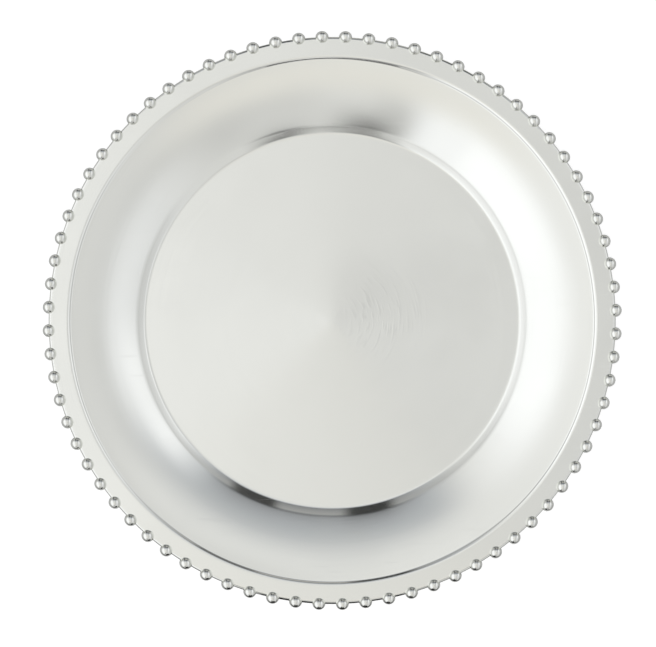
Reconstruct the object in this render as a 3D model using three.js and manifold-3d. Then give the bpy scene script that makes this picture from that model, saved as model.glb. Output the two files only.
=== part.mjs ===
// Beaded rim plate: a dish spun from one round of sheet metal, with a row of balls seated on the edge of
// its flat rim. Millimetres, +Z up. The origin is the centre of the base, on the table that it stands on.

import * as THREE from "three";
import { mergeVertices } from "three/addons/utils/BufferGeometryUtils.js";
import Module from "manifold-3d";

const wasm = await Module();
wasm.setup();

const DEGREE = Math.PI / 180;

// Dish: floor, pressed step, domed shoulder, crease and flat rim, all of one thickness.
const SHEET = 1.2; // thickness of the sheet
const WELL_RADIUS = 108.85; // the floor, out to the corner where it turns up
const FOOT_WIDTH = 9; // the flat foot, from where the crown dies out to that corner
const CROWN_RISE = 1.4; // how far the middle of the floor stands above its flat foot
const STEP_RISE = 3.7; // the step from the floor to the shoulder
const STEP_ANGLE = 40 * DEGREE;
const STEP_BEND = 2.2; // inside radius of the bend from the floor into the step
const STEP_BLEND = 15; // radius of the easy bend from the step into the shoulder
const SHOULDER_BOW = 12 * DEGREE; // lean of the shoulder's ends away from its chord
const CREASE_RISE = 1.25; // the small step from the shoulder to the rim
const CREASE_ANGLE = 47.5 * DEGREE;
const CREASE_BEND = 1.1; // inside radius of the bends at the foot and the top of the crease
const RIM_WIDTH = 9.8; // the flat rim, from the crease to the cut edge
const RIM_RADIUS = 160.2; // the cut edge
const RIM_HEIGHT = 18.6; // underside of the flat rim above the table

// Beading: balls in short strips, slotted over the rim and soldered, with a thin bevelled link
// along the cut edge.
const BEAD_COUNT = 76;
const BEADS_PER_STRIP = 4;
const FIRST_BEAD = 2.05 * DEGREE; // turn of the beading, and of the dish's flats, about +Z
const BEAD_LENGTH = 7.4; // along the rim
const BEAD_WIDTH = 6.9; // across the rim
const BEAD_HEIGHT = 6.75;
const BEAD_OUTSET = 1.27; // bead centres outside the cut edge
const LINK_DEPTH = 1; // how far the link reaches outwards, along its foot
const LINK_LIP = 0.2; // thickness that the link's bevelled face leaves at its outer edge
const EDGE_GAP = 0.3; // between the cut edge and the strip
const FACE_GAP = 0.1; // solder film on each face of the rim
const STRIP_GAP = 0.3; // between the ends of neighbouring strips

// How finely curves are divided.
const CROWN_STEPS = 4;
const SHOULDER_STEPS = 6;
const BEND_STEPS = 2;
const BALL_SIDES = 10;

const PITCH = (2 * Math.PI) / BEAD_COUNT;
const RIM_MIDDLE = RIM_HEIGHT + SHEET / 2;
const BEAD_CIRCLE = RIM_RADIUS + BEAD_OUTSET;

const point = (radius, height) => new THREE.Vector2(radius, height);

// The floor's crown, steepest at the axis and level with the foot at its edge.
function crownPoints(floor) {
  const reach = WELL_RADIUS - FOOT_WIDTH;
  return Array.from({ length: CROWN_STEPS + 1 }, (_, i) => {
    const share = i / CROWN_STEPS;
    return point(share * reach, floor + CROWN_RISE * (1 - share) ** 2);
  });
}

// The points between two ends of an arc whose tangents lean by the bow from the chord.
function bowedPoints(start, end, bow) {
  const chord = end.clone().sub(start);
  const radius = chord.length() / (2 * Math.sin(bow));
  const centre = start.clone().lerp(end, 0.5);
  centre.add(point(chord.y, -chord.x).setLength(radius * Math.cos(bow)));
  return Array.from({ length: SHOULDER_STEPS - 1 }, (_, i) =>
    start.clone().rotateAround(centre, (-2 * bow * (i + 1)) / SHOULDER_STEPS),
  );
}

// A pressed bend: the corner between two neighbours, rounded as far as the shorter of them allows.
function bentCorner(before, corner, after, radius) {
  const back = before.clone().sub(corner);
  const on = after.clone().sub(corner);
  const turn = Math.PI - Math.abs(back.angleTo(on));
  const room = Math.min(back.length(), on.length()) / 2;
  const length = Math.min(radius * Math.tan(turn / 2), room);
  const start = corner.clone().add(back.setLength(length));
  const end = corner.clone().add(on.setLength(length));
  return new THREE.QuadraticBezierCurve(start, corner, end).getPoints(BEND_STEPS);
}

// The sheet's mid-line from the axis to the cut edge.
function midLine() {
  const floor = SHEET / 2;
  const stepBend = STEP_BEND + SHEET / 2;
  const creaseBend = CREASE_BEND + SHEET / 2;
  const crown = crownPoints(floor);
  const wellCorner = point(WELL_RADIUS, floor);
  const stepTop = point(WELL_RADIUS + STEP_RISE / Math.tan(STEP_ANGLE), floor + STEP_RISE);
  const rimCorner = point(RIM_RADIUS - RIM_WIDTH, RIM_MIDDLE);
  const creaseRun = CREASE_RISE / Math.tan(CREASE_ANGLE);
  const creaseFoot = point(rimCorner.x - creaseRun, RIM_MIDDLE - CREASE_RISE);
  const shoulder = bowedPoints(stepTop, creaseFoot, SHOULDER_BOW);
  const cutEdge = point(RIM_RADIUS, RIM_MIDDLE);
  return [
    ...crown,
    ...bentCorner(crown.at(-1), wellCorner, stepTop, stepBend),
    ...bentCorner(wellCorner, stepTop, shoulder[0], STEP_BLEND),
    ...shoulder,
    ...bentCorner(shoulder.at(-1), creaseFoot, rimCorner, creaseBend),
    ...bentCorner(creaseFoot, rimCorner, cutEdge, creaseBend),
    cutEdge,
  ];
}

// One face of the sheet: the mid-line set off square to itself, up or down by half the thickness.
function sheetFace(line, side) {
  return line.map((here, i) => {
    const before = line[i - 1] ?? point(-line[1].x, line[1].y);
    const after = line[i + 1] ?? here.clone().add(point(1, 0));
    const first = here.clone().sub(before).normalize();
    const second = after.clone().sub(here).normalize();
    const along = first.clone().add(second).normalize();
    const square = point(-along.y, along.x).divideScalar(along.dot(first));
    return here.clone().addScaledVector(square, (side * SHEET) / 2);
  });
}

// A section spun about +Z, with a flat for each bead.
function spun(section) {
  return new THREE.LatheGeometry(section, BEAD_COUNT).rotateX(Math.PI / 2);
}

// A closed ring, from the corners of its section in turn.
function ring(...corners) {
  return spun([...corners, corners[0]]);
}

function asSolid(geometry) {
  const bare = geometry.clone();
  bare.deleteAttribute("normal");
  bare.deleteAttribute("uv");
  const merged = mergeVertices(bare);
  const vertProperties = new Float32Array(merged.attributes.position.array);
  const triVerts = new Uint32Array(merged.index.array);
  return new wasm.Manifold(new wasm.Mesh({ numProp: 3, vertProperties, triVerts }));
}

function asGeometry(solid) {
  const { vertProperties, triVerts } = solid.getMesh();
  const geometry = new THREE.BufferGeometry();
  geometry.setAttribute("position", new THREE.BufferAttribute(vertProperties, 3));
  geometry.setIndex(new THREE.BufferAttribute(triVerts, 1));
  geometry.computeVertexNormals();
  return geometry;
}

function dish() {
  const line = midLine();
  return spun([...sheetFace(line, -1), ...sheetFace(line, 1).reverse()]);
}

// A ball on the bead circle, long way along the rim, with a ring of its facets on each face of the slot.
function ball(angle) {
  const slotFace = Math.asin((SHEET + 2 * FACE_GAP) / BEAD_HEIGHT);
  const rings = [slotFace, (slotFace + Math.PI / 2) / 2, Math.PI / 2];
  const arc = [...rings.map((ring) => -ring).reverse(), ...rings];
  const section = arc.map((ring) => point(Math.cos(ring) / Math.cos(slotFace), Math.sin(ring)));
  section[0].x = 0;
  section.at(-1).x = 0;
  return new THREE.LatheGeometry(section, BALL_SIDES, Math.PI / 2)
    .rotateX(Math.PI / 2)
    .scale(BEAD_WIDTH / 2, BEAD_LENGTH / 2, BEAD_HEIGHT / 2)
    .translate(BEAD_CIRCLE, 0, RIM_MIDDLE)
    .rotateZ(angle);
}

// The wedge that holds one strip, from half a pitch before its first bead to half a pitch after its last,
// less half a gap at each end.
function stripWedge(beads) {
  const reach = BEAD_CIRCLE + BEAD_WIDTH;
  const halfGap = STRIP_GAP / 2 / BEAD_CIRCLE;
  const start = -PITCH / 2 + halfGap;
  const wedge = new THREE.Shape()
    .moveTo(0, 0)
    .lineTo(reach * Math.cos(start), reach * Math.sin(start))
    .absarc(0, 0, reach, start, (beads - 0.5) * PITCH - halfGap);
  return new THREE.ExtrudeGeometry(wedge, { depth: 2 * BEAD_HEIGHT, bevelEnabled: false })
    .translate(0, 0, RIM_MIDDLE - BEAD_HEIGHT);
}

// A strip of balls on their link, the first at angle 0, slotted to slide over the rim from outside.
function beadStrip(beads) {
  const seat = RIM_RADIUS + EDGE_GAP;
  const tip = seat + LINK_DEPTH;
  const foot = RIM_HEIGHT;
  const link = ring(point(seat, foot), point(tip, foot), point(tip, foot + LINK_LIP), point(seat, foot + SHEET));
  const throat = RIM_RADIUS - BEAD_WIDTH;
  const low = RIM_HEIGHT - FACE_GAP;
  const high = RIM_HEIGHT + SHEET + FACE_GAP;
  const slot = ring(point(throat, low), point(seat, low), point(seat, high), point(throat, high));
  let strip = asSolid(link);
  for (let i = 0; i < beads; i++) strip = strip.add(asSolid(ball(i * PITCH)));
  return asGeometry(strip.intersect(asSolid(stripWedge(beads))).subtract(asSolid(slot)));
}

const spunMetal = new THREE.MeshStandardMaterial({ color: 0xdedfda, roughness: 0.28, metalness: 1 });
const polishedMetal = new THREE.MeshStandardMaterial({ color: 0xe4e4e2, roughness: 0.08, metalness: 1 });

function named(name, geometry, material) {
  const mesh = new THREE.Mesh(geometry, material);
  mesh.name = name;
  return mesh;
}

const plate = new THREE.Group();
plate.rotation.z = FIRST_BEAD;
plate.add(named("dish", dish(), spunMetal));

for (let first = 0, number = 1; first < BEAD_COUNT; first += BEADS_PER_STRIP, number++) {
  const beads = Math.min(BEADS_PER_STRIP, BEAD_COUNT - first);
  const name = `bead_strip_${String(number).padStart(2, "0")}`;
  const strip = named(name, beadStrip(beads), polishedMetal);
  strip.rotation.z = first * PITCH;
  plate.add(strip);
}

export default plate;
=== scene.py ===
"""Looks of the beaded rim plate: a spun dish with polished balls round its rim, in a white studio."""

import math

import bmesh
import bpy
from mathutils import Matrix, Vector


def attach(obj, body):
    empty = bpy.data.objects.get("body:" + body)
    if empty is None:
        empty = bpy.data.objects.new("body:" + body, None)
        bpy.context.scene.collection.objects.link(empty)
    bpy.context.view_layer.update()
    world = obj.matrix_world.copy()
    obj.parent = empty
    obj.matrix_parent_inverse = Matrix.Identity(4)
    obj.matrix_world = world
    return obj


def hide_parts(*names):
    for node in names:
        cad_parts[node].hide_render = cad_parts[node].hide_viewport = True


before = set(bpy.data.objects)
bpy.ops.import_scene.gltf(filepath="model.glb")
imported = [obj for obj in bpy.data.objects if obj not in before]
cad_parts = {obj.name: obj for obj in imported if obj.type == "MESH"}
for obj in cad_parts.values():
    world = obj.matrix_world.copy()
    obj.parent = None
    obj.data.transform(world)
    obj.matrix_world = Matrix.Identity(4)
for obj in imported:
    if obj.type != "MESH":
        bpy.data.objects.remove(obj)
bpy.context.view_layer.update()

# Sizes of the dish and its beading, in metres, as in the part's source. The bends are those of the mid-line.
SHEET = 0.0012
WELL_RADIUS = 0.10885
FOOT_WIDTH = 0.009
CROWN_RISE = 0.0014
STEP_RISE = 0.0037
STEP_ANGLE = math.radians(40)
STEP_BEND = 0.0022 + SHEET / 2
STEP_BLEND = 0.015
SHOULDER_BOW = math.radians(12)
CREASE_RISE = 0.00125
CREASE_ANGLE = math.radians(47.5)
CREASE_BEND = 0.0011 + SHEET / 2
RIM_WIDTH = 0.0098
RIM_RADIUS = 0.1602
RIM_HEIGHT = 0.0186
BEAD_COUNT = 76
BEADS_PER_STRIP = 4
FIRST_BEAD = math.radians(2.05)
BEAD_SIZE = Vector((0.0069, 0.0074, 0.00675))
BEAD_OUTSET = 0.00127
LINK_REACH = 0.0013
LINK_LIP = 0.0002

# What the scene adds: the bow of the link's face, the lap of the solder that closes the slot between the cut
# edge and the link, and the rounding of the cut edge.
LINK_BOW = math.radians(16)
SOLDER_LAP = 0.0001
EDGE_ROUND = 0.00012

# How finely the shapes are divided, and the angle between faces from which an edge looks sharp.
DISH_STEPS = 304
CROWN_STEPS = 24
SHOULDER_STEPS = 40
BEND_SEGMENTS = 5
EDGE_SEGMENTS = 3
LINK_FACE_STEPS = 8
LINK_STEPS_PER_BEAD = 6
BALL_SEGMENTS = 28
BALL_RINGS = 16
SHARP_ANGLE = math.radians(32)
SAME_PLACE = 1e-6

# Rings that keep the foot and the rim flat, by their distance from the inner and the outer end of each.
FOOT_START_RINGS = (0.0015,)
FOOT_END_RINGS = (0.004, 0.0018)
RIM_START_RINGS = (0.0012, 0.003)
RIM_END_RINGS = (0.003, 0.001)

PITCH = 2 * math.pi / BEAD_COUNT
RIM_MIDDLE = RIM_HEIGHT + SHEET / 2
RIM_START = RIM_RADIUS - RIM_WIDTH
BEAD_CIRCLE = RIM_RADIUS + BEAD_OUTSET
LINK_TIP = RIM_RADIUS + LINK_REACH
STEP_TOP = WELL_RADIUS + STEP_RISE / math.tan(STEP_ANGLE)
CREASE_FOOT = RIM_START - CREASE_RISE / math.tan(CREASE_ANGLE)

# Tones of the dish between and on its fine lines, of clear and clouded balls, and of the painted shade and
# the grime on the dish.
DISH_TONES = ((0.858, 0.865, 0.824, 1), (0.888, 0.895, 0.854, 1))
BALL_TONES = ((0.83, 0.836, 0.795, 1), (0.79, 0.796, 0.755, 1))
SHADE_AND_GRIME_TONE = (0.3, 0.3, 0.29, 1)

# The dish's fine lines, its broad waves, and the short arcs of the turning tool. The arcs are cut out of a
# noise between two levels, which changes along a ring and from ring to ring at these rates.
LINE_WIDTH = 0.0007
WAVES_PER_METRE = 120.0
ARC_BREAKS = 3.0
ARCS_PER_METRE = 650.0
ARC_LEVELS = (0.52, 0.66)

# Clouds and short scratches, each cut out of a noise between two levels, and the way the scratches run.
DISH_CLOUD_SCALE = 14.0
BALL_CLOUD_SCALE = 220.0
CLOUD_LEVELS = (0.35, 0.7)
SCRATCH_LEVELS = (0.68, 0.76)
SCRATCH_TURN = (0, 0, 0.6)
SCRATCH_STRETCH = (40, 900, 40)

# The folds, darkened with painted shade: radius, reach and share of painted shade.
FOLD_SHADES = [(WELL_RADIUS, 0.0007, 0.03), (CREASE_FOOT, 0.0008, 0.02)]

# A patch of painted shade beside the middle of the floor, in place of a darker reflection there: its place,
# reach and share of painted shade.
SHADE_PATCH_PLACE = (0.017, 0.02, SHEET + CROWN_RISE / 2)
SHADE_PATCH_REACH = 0.032
SHADE_PATCH_SHARE = 0.08

# The place beside it where arcs and scratches show most, how much of them shows elsewhere, in clear and in
# cloudy spots, and the share of grime in them.
TURNED_PLACE = (0.027, 0.007, SHEET + CROWN_RISE / 2)
TURNED_REACH = 0.038
STRAY_MARKS = (0.02, 0.15)
ARC_SHARE = 0.065
SCRATCH_SHARE = 0.04

# Roughness in clear and in cloudy spots, what scratches add to it, and what burnishing takes off it on the
# step, where it fades at both ends, and near the crease.
DISH_ROUGHNESS = (0.17, 0.21)
BALL_ROUGHNESS = (0.05, 0.1)
SCRATCH_ROUGHNESS = 0.05
STEP_BURNISH = 0.04
STEP_FADE = 0.001
CREASE_BURNISH = 0.08
CREASE_REACH = 0.002

# Relief of the lines and the scratches, as shares of that of the arcs and waves, and the bump of them all.
LINE_RELIEF = 0.15
SCRATCH_RELIEF = 0.12
BUMP_STRENGTH = 0.25
BUMP_DISTANCE = 0.0001

# How far the spinning stretches the highlights, and the quarter turn that lays them across its lines.
SPIN_STRETCH = 0.88
SPIN_TURN = 0.25

FLOAT = "NodeSocketFloat"
VECTOR = "NodeSocketVector"


# Shader node helpers
def add_node(tree, kind, inputs=None, **settings):
    made = tree.nodes.new(kind)
    for name, value in settings.items():
        setattr(made, name, value)
    for name, value in (inputs or {}).items():
        if isinstance(value, bpy.types.NodeSocket):
            tree.links.new(value, made.inputs[name])
        else:
            made.inputs[name].default_value = value
    return made


def math_node(tree, operation, first, second=0.0):
    return add_node(tree, "ShaderNodeMath", {0: first, 1: second}, operation=operation).outputs[0]


def plus(tree, first, second):
    return math_node(tree, "ADD", first, second)


def minus(tree, first, second):
    return math_node(tree, "SUBTRACT", first, second)


def times(tree, first, second):
    return math_node(tree, "MULTIPLY", first, second)


def vector_node(tree, operation, inputs, output="Vector"):
    return add_node(tree, "ShaderNodeVectorMath", inputs, operation=operation).outputs[output]


def noise_node(tree, dimensions, inputs):
    return add_node(tree, "ShaderNodeTexNoise", inputs, noise_dimensions=dimensions).outputs[0]


def ramp_between(tree, value, low, high, out_low=0.0, out_high=1.0):
    made = add_node(
        tree,
        "ShaderNodeMapRange",
        {"Value": value, "From Min": low, "From Max": high, "To Min": out_low, "To Max": out_high},
        interpolation_type="SMOOTHSTEP",
    )
    return made.outputs["Result"]


# The Mix node has sockets for each type of data. Those of colours are 6 and 7, and 2 for the result
def mix_colours(tree, share, first, second):
    made = add_node(tree, "ShaderNodeMix", {0: share, 6: first, 7: second}, data_type="RGBA")
    return made.outputs[2]


# A mask that is 1 at a spot and fades out over its reach
def near_spot(tree, place, spot, reach):
    away = vector_node(tree, "DISTANCE", {0: place, 1: spot}, "Value")
    return ramp_between(tree, away, 0.0, reach, 1.0, 0.0)


def object_place(tree):
    return add_node(tree, "ShaderNodeTexCoord").outputs["Object"]


def grey(tone):
    return (tone, tone, tone, 1)


def new_group(name, inputs, outputs):
    tree = bpy.data.node_groups.new(name, "ShaderNodeTree")
    for socket, kind in inputs.items():
        tree.interface.new_socket(name=socket, in_out="INPUT", socket_type=kind)
    for socket in outputs:
        tree.interface.new_socket(name=socket, in_out="OUTPUT", socket_type=FLOAT)
    return tree, tree.nodes.new("NodeGroupInput").outputs, tree.nodes.new("NodeGroupOutput").inputs


def place_group(tree, group, inputs, label=""):
    return add_node(tree, "ShaderNodeGroup", inputs, node_tree=group, label=label).outputs


# Spinning lines: fine lines about the plate's axis, with short coarse arcs and broad waves under them
def spinning_lines():
    inputs = {"Position": VECTOR, "Line Width": FLOAT}
    tree, given, result = new_group("spinning lines", inputs, ["Radius", "Lines", "Arcs", "Waves"])
    flat = vector_node(tree, "MULTIPLY", {0: given["Position"], 1: (1, 1, 0)})
    radius = vector_node(tree, "LENGTH", {0: flat}, "Value")
    along = math_node(tree, "DIVIDE", radius, given["Line Width"])
    lines = noise_node(tree, "1D", {"W": along, "Scale": 1.0, "Detail": 3.0, "Roughness": 0.6})
    heading = vector_node(tree, "NORMALIZE", {0: flat})
    around = vector_node(tree, "SCALE", {0: heading, "Scale": ARC_BREAKS})
    outwards = add_node(tree, "ShaderNodeCombineXYZ", {"Z": times(tree, radius, ARCS_PER_METRE)})
    path = vector_node(tree, "ADD", {0: around, 1: outwards.outputs["Vector"]})
    arcs = noise_node(tree, "3D", {"Vector": path, "Scale": 1.0, "Detail": 1.0})
    waves = noise_node(tree, "1D", {"W": radius, "Scale": WAVES_PER_METRE, "Detail": 1.0})
    tree.links.new(radius, result["Radius"])
    tree.links.new(lines, result["Lines"])
    tree.links.new(ramp_between(tree, arcs, *ARC_LEVELS), result["Arcs"])
    tree.links.new(waves, result["Waves"])
    return tree


# Handling marks: cloudy smears and short fine scratches that change the gloss
def handling_marks():
    inputs = {"Position": VECTOR, "Cloud Scale": FLOAT}
    tree, given, result = new_group("handling marks", inputs, ["Clouds", "Scratches"])
    smears = {"Vector": given["Position"], "Scale": given["Cloud Scale"], "Detail": 4.0, "Roughness": 0.55}
    clouds = noise_node(tree, "3D", smears)
    run = {"Vector": given["Position"], "Rotation": SCRATCH_TURN, "Scale": SCRATCH_STRETCH}
    stretched = add_node(tree, "ShaderNodeMapping", run).outputs["Vector"]
    hairs = noise_node(tree, "3D", {"Vector": stretched, "Scale": 1.0, "Detail": 1.0})
    tree.links.new(ramp_between(tree, clouds, *CLOUD_LEVELS), result["Clouds"])
    tree.links.new(ramp_between(tree, hairs, *SCRATCH_LEVELS), result["Scratches"])
    return tree


# Fold mask: a soft ring that is 1 at the radius of a fold and fades out over its reach
def fold_mask():
    inputs = {"Radius": FLOAT, "Fold": FLOAT, "Reach": FLOAT}
    tree, given, result = new_group("fold mask", inputs, ["Mask"])
    away = math_node(tree, "ABSOLUTE", minus(tree, given["Radius"], given["Fold"]))
    share = math_node(tree, "DIVIDE", away, given["Reach"])
    tree.links.new(ramp_between(tree, share, 0.0, 1.0, 1.0, 0.0), result["Mask"])
    return tree


lines_group = spinning_lines()
fold_group = fold_mask()
marks_group = handling_marks()


def near_fold(tree, radius, fold, reach):
    return place_group(tree, fold_group, {"Radius": radius, "Fold": fold, "Reach": reach})["Mask"]


def new_material(name):
    material = bpy.data.materials.new(name)
    material.use_nodes = True
    tree = material.node_tree
    return material, tree, tree.nodes["Principled BSDF"].inputs


# Spun silver-plated sheet: bright along its rings, blurred across them
def spun_metal():
    material, tree, shader = new_material("spun metal")
    place = object_place(tree)
    lines = place_group(tree, lines_group, {"Position": place, "Line Width": LINE_WIDTH})
    marks = place_group(tree, marks_group, {"Position": place, "Cloud Scale": DISH_CLOUD_SCALE})
    radius = lines["Radius"]

    stray = ramp_between(tree, marks["Clouds"], 0.0, 1.0, *STRAY_MARKS)
    shown = plus(tree, stray, near_spot(tree, place, TURNED_PLACE, TURNED_REACH))
    arcs = times(tree, lines["Arcs"], shown)
    grooves = times(tree, arcs, ARC_SHARE)
    hairlines = times(tree, times(tree, marks["Scratches"], shown), SCRATCH_SHARE)
    # A patch of painted shade beside the middle, in place of a darker reflection, added to the real arcs and
    # scratches
    painted_patch = times(tree, near_spot(tree, place, SHADE_PATCH_PLACE, SHADE_PATCH_REACH), SHADE_PATCH_SHARE)
    marks_and_shade = plus(tree, plus(tree, painted_patch, grooves), hairlines)
    tone = mix_colours(tree, lines["Lines"], *DISH_TONES)
    # Painted shade in the folds: the colour darkens along the foot of the step and the foot of the crease
    for fold, reach, share in FOLD_SHADES:
        fold_shade = times(tree, near_fold(tree, radius, fold, reach), share)
        tone = mix_colours(tree, fold_shade, tone, SHADE_AND_GRIME_TONE)
    tone = mix_colours(tree, marks_and_shade, tone, SHADE_AND_GRIME_TONE)
    tree.links.new(tone, shader["Base Color"])

    clouded = ramp_between(tree, marks["Clouds"], 0.0, 1.0, *DISH_ROUGHNESS)
    rough = plus(tree, clouded, times(tree, marks["Scratches"], SCRATCH_ROUGHNESS))
    risen = ramp_between(tree, radius, WELL_RADIUS - STEP_FADE, WELL_RADIUS + STEP_FADE)
    passed = ramp_between(tree, radius, STEP_TOP - STEP_FADE, STEP_TOP + STEP_FADE)
    step = times(tree, minus(tree, risen, passed), STEP_BURNISH)
    crease = times(tree, near_fold(tree, radius, CREASE_FOOT, CREASE_REACH), CREASE_BURNISH)
    tree.links.new(minus(tree, rough, plus(tree, step, crease)), shader["Roughness"])

    fine = times(tree, lines["Lines"], LINE_RELIEF)
    scored = minus(tree, fine, times(tree, marks["Scratches"], SCRATCH_RELIEF))
    height = plus(tree, plus(tree, arcs, scored), lines["Waves"])
    relief = {"Strength": BUMP_STRENGTH, "Distance": BUMP_DISTANCE, "Height": height}
    tree.links.new(add_node(tree, "ShaderNodeBump", relief).outputs["Normal"], shader["Normal"])
    tangent = add_node(tree, "ShaderNodeTangent", direction_type="RADIAL", axis="Z")
    tree.links.new(tangent.outputs["Tangent"], shader["Tangent"])
    shader["Metallic"].default_value = 1.0
    shader["Anisotropic"].default_value = SPIN_STRETCH
    shader["Anisotropic Rotation"].default_value = SPIN_TURN
    return material


# Polished balls: the same plating, buffed to a mirror
def polished_metal():
    material, tree, shader = new_material("polished metal")
    place = object_place(tree)
    marks = place_group(tree, marks_group, {"Position": place, "Cloud Scale": BALL_CLOUD_SCALE})
    tree.links.new(mix_colours(tree, marks["Clouds"], *BALL_TONES), shader["Base Color"])
    rough = ramp_between(tree, marks["Clouds"], 0.0, 1.0, *BALL_ROUGHNESS)
    tree.links.new(rough, shader["Roughness"])
    shader["Metallic"].default_value = 1.0
    return material


# Mesh helpers
def new_object(name, bm, material):
    mesh = bpy.data.meshes.new(name)
    bm.to_mesh(mesh)
    bm.free()
    mesh.materials.append(material)
    made = bpy.data.objects.new(name, mesh)
    bpy.context.scene.collection.objects.link(made)
    return made


def finished_piece(name, bm, material, nodes):
    piece = new_object(name, bm, material)
    mesh = piece.data
    mesh.polygons.foreach_set("use_smooth", [True] * len(mesh.polygons))
    mesh.set_sharp_from_angle(angle=SHARP_ANGLE)
    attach(piece, "root")
    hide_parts(*nodes)


# A wire in the XZ plane from one point to another, on an arc whose ends lean from the chord by the bow
def bowed_wire(bm, start, end, bow, steps):
    chord = end - start
    towards_centre = Vector((chord.z, 0, -chord.x)).normalized()
    centre = (start + end) / 2 + towards_centre * (chord.length / 2 / math.tan(bow))
    first = bm.verts.new(start)
    swept = bmesh.ops.spin(bm, geom=[first], cent=centre, axis=(0, 1, 0), angle=2 * bow, steps=steps)
    last = next(v for v in swept["geom_last"] if isinstance(v, bmesh.types.BMVert))
    return first, last


def join_wire(bm, verts):
    for first, second in zip(verts, verts[1:]):
        bm.edges.new((first, second))


def spin_wire(bm, angle, steps, closed):
    bmesh.ops.spin(
        bm,
        geom=bm.verts[:] + bm.edges[:],
        cent=(0, 0, 0),
        axis=(0, 0, 1),
        angle=angle,
        steps=steps,
        use_merge=closed,
    )


def turn_about_axis(bm, angle):
    bmesh.ops.rotate(bm, cent=(0, 0, 0), matrix=Matrix.Rotation(angle, 3, "Z"), verts=bm.verts)


def round_off(bm, geom, affect, offset, segments):
    bmesh.ops.bevel(
        bm,
        geom=geom,
        offset=offset,
        offset_type="OFFSET",
        affect=affect,
        segments=segments,
        profile=0.5,
        material=-1,
    )


# The dish's mid-line as a wire in the XZ plane, from the axis to the cut edge
def dish_wire():
    bm = bmesh.new()
    floor = SHEET / 2
    reach = WELL_RADIUS - FOOT_WIDTH
    shares = [i / CROWN_STEPS for i in range(CROWN_STEPS + 1)]
    inner = [bm.verts.new((reach * share, 0, floor + CROWN_RISE * (1 - share) ** 2)) for share in shares]
    foot = [reach + ring for ring in FOOT_START_RINGS] + [WELL_RADIUS - ring for ring in FOOT_END_RINGS]
    inner += [bm.verts.new((radius, 0, floor)) for radius in foot + [WELL_RADIUS]]
    rim = [RIM_START + ring for ring in RIM_START_RINGS] + [RIM_RADIUS - ring for ring in RIM_END_RINGS]
    outer = [bm.verts.new((radius, 0, RIM_MIDDLE)) for radius in [RIM_START] + rim + [RIM_RADIUS]]
    step_top = Vector((STEP_TOP, 0, floor + STEP_RISE))
    crease_foot = Vector((CREASE_FOOT, 0, RIM_MIDDLE - CREASE_RISE))
    start, end = bowed_wire(bm, step_top, crease_foot, SHOULDER_BOW, SHOULDER_STEPS)
    join_wire(bm, inner + [start])
    join_wire(bm, [end] + outer)
    chord = crease_foot - step_top
    lean = math.atan2(chord.z, chord.x)
    bends = [
        (inner[-1], STEP_BEND, STEP_ANGLE),
        (start, STEP_BLEND, STEP_ANGLE - lean - SHOULDER_BOW),
        (end, CREASE_BEND, CREASE_ANGLE - lean + SHOULDER_BOW),
        (outer[0], CREASE_BEND, CREASE_ANGLE),
    ]
    for corner, radius, turn in bends:
        round_off(bm, [corner], "VERTICES", radius * math.tan(turn / 2), BEND_SEGMENTS)
    return bm


# The dish: its mid-line spun about the axis, given the sheet's thickness and rounded at the cut edge
def spin_dish(material):
    bm = dish_wire()
    spin_wire(bm, 2 * math.pi, DISH_STEPS, True)
    bmesh.ops.remove_doubles(bm, verts=bm.verts, dist=SAME_PLACE)
    bmesh.ops.recalc_face_normals(bm, faces=bm.faces)
    bm.normal_update()
    for vert in bm.verts:
        vert.co += vert.normal * (SHEET / 2)
    bmesh.ops.solidify(bm, geom=bm.faces[:], thickness=SHEET)
    cut_edge = [e for e in bm.edges if all(v.co.xy.length > RIM_RADIUS - SAME_PLACE for v in e.verts)]
    rings = [e for e in cut_edge if abs(e.verts[0].co.z - e.verts[1].co.z) < SAME_PLACE]
    round_off(bm, rings, "EDGES", EDGE_ROUND, EDGE_SEGMENTS)
    bmesh.ops.recalc_face_normals(bm, faces=bm.faces)
    finished_piece("dish_spun", bm, material, ["dish"])


# A strip of balls on its link, whose rounded face runs on from the rim down to a thin lip
def bead_strip(number, first, beads, material):
    bm = bmesh.new()
    inner = RIM_RADIUS - SOLDER_LAP
    top = Vector((RIM_RADIUS, 0, RIM_HEIGHT + SHEET - EDGE_ROUND))
    lip = Vector((LINK_TIP, 0, RIM_HEIGHT + LINK_LIP))
    face_top, face_foot = bowed_wire(bm, top, lip, LINK_BOW, LINK_FACE_STEPS)
    corners = [(LINK_TIP, RIM_HEIGHT), (inner, RIM_HEIGHT), (inner, top.z)]
    hidden = [bm.verts.new((radius, 0, height)) for radius, height in corners]
    join_wire(bm, [face_foot] + hidden + [face_top])
    turn_about_axis(bm, -PITCH / 2)
    spin_wire(bm, beads * PITCH, LINK_STEPS_PER_BEAD * beads, False)
    bmesh.ops.holes_fill(bm, edges=[e for e in bm.edges if e.is_boundary], sides=0)
    ball = Matrix.Translation((BEAD_CIRCLE, 0, RIM_MIDDLE)) @ Matrix.Diagonal(BEAD_SIZE).to_4x4()
    for i in range(beads):
        bmesh.ops.create_uvsphere(
            bm,
            u_segments=BALL_SEGMENTS,
            v_segments=BALL_RINGS,
            radius=0.5,
            matrix=Matrix.Rotation(i * PITCH, 4, "Z") @ ball,
        )
    turn_about_axis(bm, FIRST_BEAD + first * PITCH)
    bmesh.ops.recalc_face_normals(bm, faces=bm.faces)
    name = f"bead_strip_{number:02d}"
    finished_piece(name + "_polished", bm, material, [name])


spin_dish(spun_metal())
polished = polished_metal()
for number, first in enumerate(range(0, BEAD_COUNT, BEADS_PER_STRIP), start=1):
    bead_strip(number, first, min(BEADS_PER_STRIP, BEAD_COUNT - first), polished)

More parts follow.
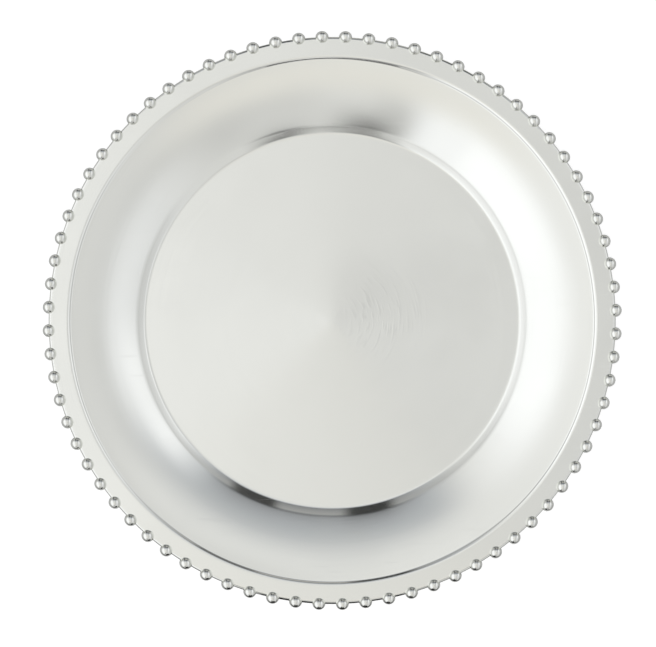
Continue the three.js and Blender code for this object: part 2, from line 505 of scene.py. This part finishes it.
# The floor: half its side, its tone and roughness, its glow to the camera and to the metal, and the edge in
# front of the plate where the metal sees it end in the dark.
FLOOR_HALF = 4.0
FLOOR_TONE = 0.5
FLOOR_ROUGHNESS = 0.9
GLOW_TO_CAMERA = 0.75
GLOW_TO_METAL = 0.12
TABLE_EDGE = -0.185
TABLE_FADE = 0.02
DARK_TONE = 0.03

# The flag: how far in front of the plate's axis it stands, its width and height, and its roughness.
FLAG_AWAY = 0.42
FLAG_WIDTH = 0.22
FLAG_HEIGHT = 0.15
FLAG_ROUGHNESS = 0.95

# The sky to the left and the right of the plate, and the span in which one turns into the other.
SKY_LEFT = 0.9
SKY_RIGHT = 0.6
SKY_BLEND = (-0.06, 0.12)

# The tints of the studio's lights.
PLAIN = (1.0, 1.0, 1.0)
CLEAR = (0.985, 0.995, 1.025)
COOL = (0.945, 0.985, 1.06)
WARM = (1.02, 1.0, 0.955)

# The studio round the plate: facing, half width, side blur, low, high and height blur in degrees,
# brightness and tint, each laid over those before it.
STUDIO = [
    ("back sky", 75, 30, 15, 82, 88, 2, 0.82, PLAIN),
    ("left glow", 190, 45, 15, 80, 84, 2, 1.14, PLAIN),
    ("front sky", 265, 30, 15, 87, 89, 2, 0.9, PLAIN),
    ("right glow", 5, 60, 10, 65, 80, 3, 0.75, PLAIN),
    ("camera", 45, 25, 15, 87, 89, 3, 0.4, PLAIN),
    ("front glow", 265, 45, 15, 58, 80, 4, 0.85, WARM),
    ("back wall", 100, 65, 18, -40, 75, 3, 0.85, PLAIN),
    ("back shade", 75, 50, 10, -40, 55, 12, 0.48, COOL),
    ("back foot", 75, 50, 10, -40, 17, 5, 0.48, WARM),
    ("back card", 84, 30, 6, 21, 31, 8, 0.03, PLAIN),
    ("front wall", 288, 39, 2, -40, 54, 18, 0.73, PLAIN),
    ("right side", 355, 33, 18, -40, 55, 4, 0.95, CLEAR),
    ("left softbox", 191, 50, 17, -40, 62, 6, 1.2, CLEAR),
    ("left softbox, end", 241, 9, 2, 25, 56, 6, 1.09, CLEAR),
    ("right softbox", 24, 20, 11, 19, 43, 2, 1.2, CLEAR),
    ("left skirt", 195, 55, 15, -40, 18, 5, 0.66, PLAIN),
    ("back corner", 128, 24, 15, -40, 18, 12, 0.4, PLAIN),
    ("right skirt", 0, 35, 18, -40, 23, 23, 0.5, PLAIN),
    ("back gap, right", 66, 7, 2, 9, 27, 3, 0.03, PLAIN),
    ("back gap, left", 101, 7, 2.5, 3, 31, 10, 0.03, PLAIN),
    ("front corner", 300, 6, 8, 36, 58, 9, 0.62, PLAIN),
    ("front haze", 252, 5, 5, 28, 57, 9, 0.6, PLAIN),
    ("front gap, left", 260, 7, 7, 21, 38, 5, 0.12, PLAIN),
    ("front gap, right", 286, 6, 7, 18, 29, 2, 0.08, PLAIN),
    ("table edge", 265, 27, 5, -40, 6, 3, 0.03, PLAIN),
]

# The camera: its lens and sensor in millimetres, and its place above the plate, from which it looks down.
CAMERA_LENS = 100
CAMERA_SENSOR = 36
CAMERA_PLACE = (-0.00239, -0.00174, 1.0567)


# Studio floor: white to the camera, with the plate's shadow, and grey to the metal, with a dark front
def studio_floor():
    material, tree, shader = new_material("studio floor")
    rays = add_node(tree, "ShaderNodeLightPath").outputs
    mirrored = math_node(tree, "MAXIMUM", rays["Is Glossy Ray"], rays["Is Transmission Ray"])
    along = add_node(tree, "ShaderNodeSeparateXYZ", {"Vector": object_place(tree)}).outputs["Y"]
    front = ramp_between(tree, along, TABLE_EDGE - TABLE_FADE, TABLE_EDGE, 1.0, 0.0)
    dark = times(tree, front, mirrored)
    tree.links.new(mix_colours(tree, dark, grey(FLOOR_TONE), grey(DARK_TONE)), shader["Base Color"])
    shader["Roughness"].default_value = FLOOR_ROUGHNESS
    lit = times(tree, minus(tree, mirrored, dark), GLOW_TO_METAL)
    glow = plus(tree, times(tree, rays["Is Camera Ray"], GLOW_TO_CAMERA), lit)
    shader["Emission Color"].default_value = grey(1)
    tree.links.new(glow, shader["Emission Strength"])
    bm = bmesh.new()
    bmesh.ops.create_grid(bm, x_segments=1, y_segments=1, size=FLOOR_HALF)
    floor = new_object("floor", bm, material)


# A dark flag that stands in front of the plate, out of the picture, where only the metal sees it
def front_flag():
    material, _, shader = new_material("black cloth")
    shader["Base Color"].default_value = grey(DARK_TONE)
    shader["Roughness"].default_value = FLAG_ROUGHNESS
    place = (
        Matrix.Translation((0, -FLAG_AWAY, FLAG_HEIGHT / 2))
        @ Matrix.Rotation(math.radians(90), 4, "X")
        @ Matrix.Diagonal((FLAG_WIDTH, FLAG_HEIGHT, 1, 1))
    )
    bm = bmesh.new()
    bmesh.ops.create_grid(bm, x_segments=1, y_segments=1, size=0.5, matrix=place)
    flag = new_object("front flag", bm, material)
    flag.visible_camera = False
    flag.visible_diffuse = False
    flag.visible_shadow = False


# A soft-edged patch of the studio, given by the way it faces, its half width and its height, in radians
def studio_patch():
    limits = ["Facing", "Half Width", "Side Blur", "Low", "High", "Height Blur"]
    inputs = {"Direction": VECTOR, **{limit: FLOAT for limit in limits}}
    tree, given, result = new_group("studio patch", inputs, ["Mask"])
    turn = {"Vector": given["Direction"], "Angle": times(tree, given["Facing"], -1.0)}
    turned = add_node(tree, "ShaderNodeVectorRotate", turn, rotation_type="Z_AXIS").outputs["Vector"]
    parts = add_node(tree, "ShaderNodeSeparateXYZ", {"Vector": turned}).outputs
    side = math_node(tree, "ABSOLUTE", math_node(tree, "ARCTAN2", parts["Y"], parts["X"]))
    height = math_node(tree, "ARCSINE", parts["Z"])

    def faded(value, limit, blur, below, above):
        low = minus(tree, given[limit], given[blur])
        high = plus(tree, given[limit], given[blur])
        return ramp_between(tree, value, low, high, below, above)

    within = faded(side, "Half Width", "Side Blur", 1.0, 0.0)
    over = faded(height, "Low", "Height Blur", 0.0, 1.0)
    under = faded(height, "High", "Height Blur", 1.0, 0.0)
    tree.links.new(times(tree, within, times(tree, over, under)), result["Mask"])
    return tree


# The studio's light, which the metal and the floor see, while the world is white to the camera
def studio_world():
    world = bpy.data.worlds.new("studio")
    bpy.context.scene.world = world
    world.use_nodes = True
    tree = world.node_tree
    direction = add_node(tree, "ShaderNodeTexCoord").outputs["Generated"]
    across = add_node(tree, "ShaderNodeSeparateXYZ", {"Vector": direction}).outputs["X"]
    light = mix_colours(tree, ramp_between(tree, across, *SKY_BLEND), grey(SKY_LEFT), grey(SKY_RIGHT))
    patch = studio_patch()
    for name, facing, half, side_blur, low, high, height_blur, brightness, tint in STUDIO:
        inputs = {
            "Direction": direction,
            "Facing": math.radians(facing),
            "Half Width": math.radians(half),
            "Side Blur": math.radians(side_blur),
            "Low": math.radians(low),
            "High": math.radians(high),
            "Height Blur": math.radians(height_blur),
        }
        mask = place_group(tree, patch, inputs, name)["Mask"]
        light = mix_colours(tree, mask, light, (*[brightness * part for part in tint], 1))
    rays = add_node(tree, "ShaderNodeLightPath").outputs
    seen = mix_colours(tree, rays["Is Camera Ray"], light, grey(1))
    tree.links.new(seen, tree.nodes["Background"].inputs["Color"])


def overhead_camera():
    data = bpy.data.cameras.new("camera")
    data.lens = CAMERA_LENS
    data.sensor_width = CAMERA_SENSOR
    camera = bpy.data.objects.new("camera", data)
    camera.location = CAMERA_PLACE
    bpy.context.scene.collection.objects.link(camera)
    bpy.context.scene.camera = camera


studio_floor()
front_flag()
studio_world()
overhead_camera()
bpy.context.scene.view_settings.view_transform = "Standard"
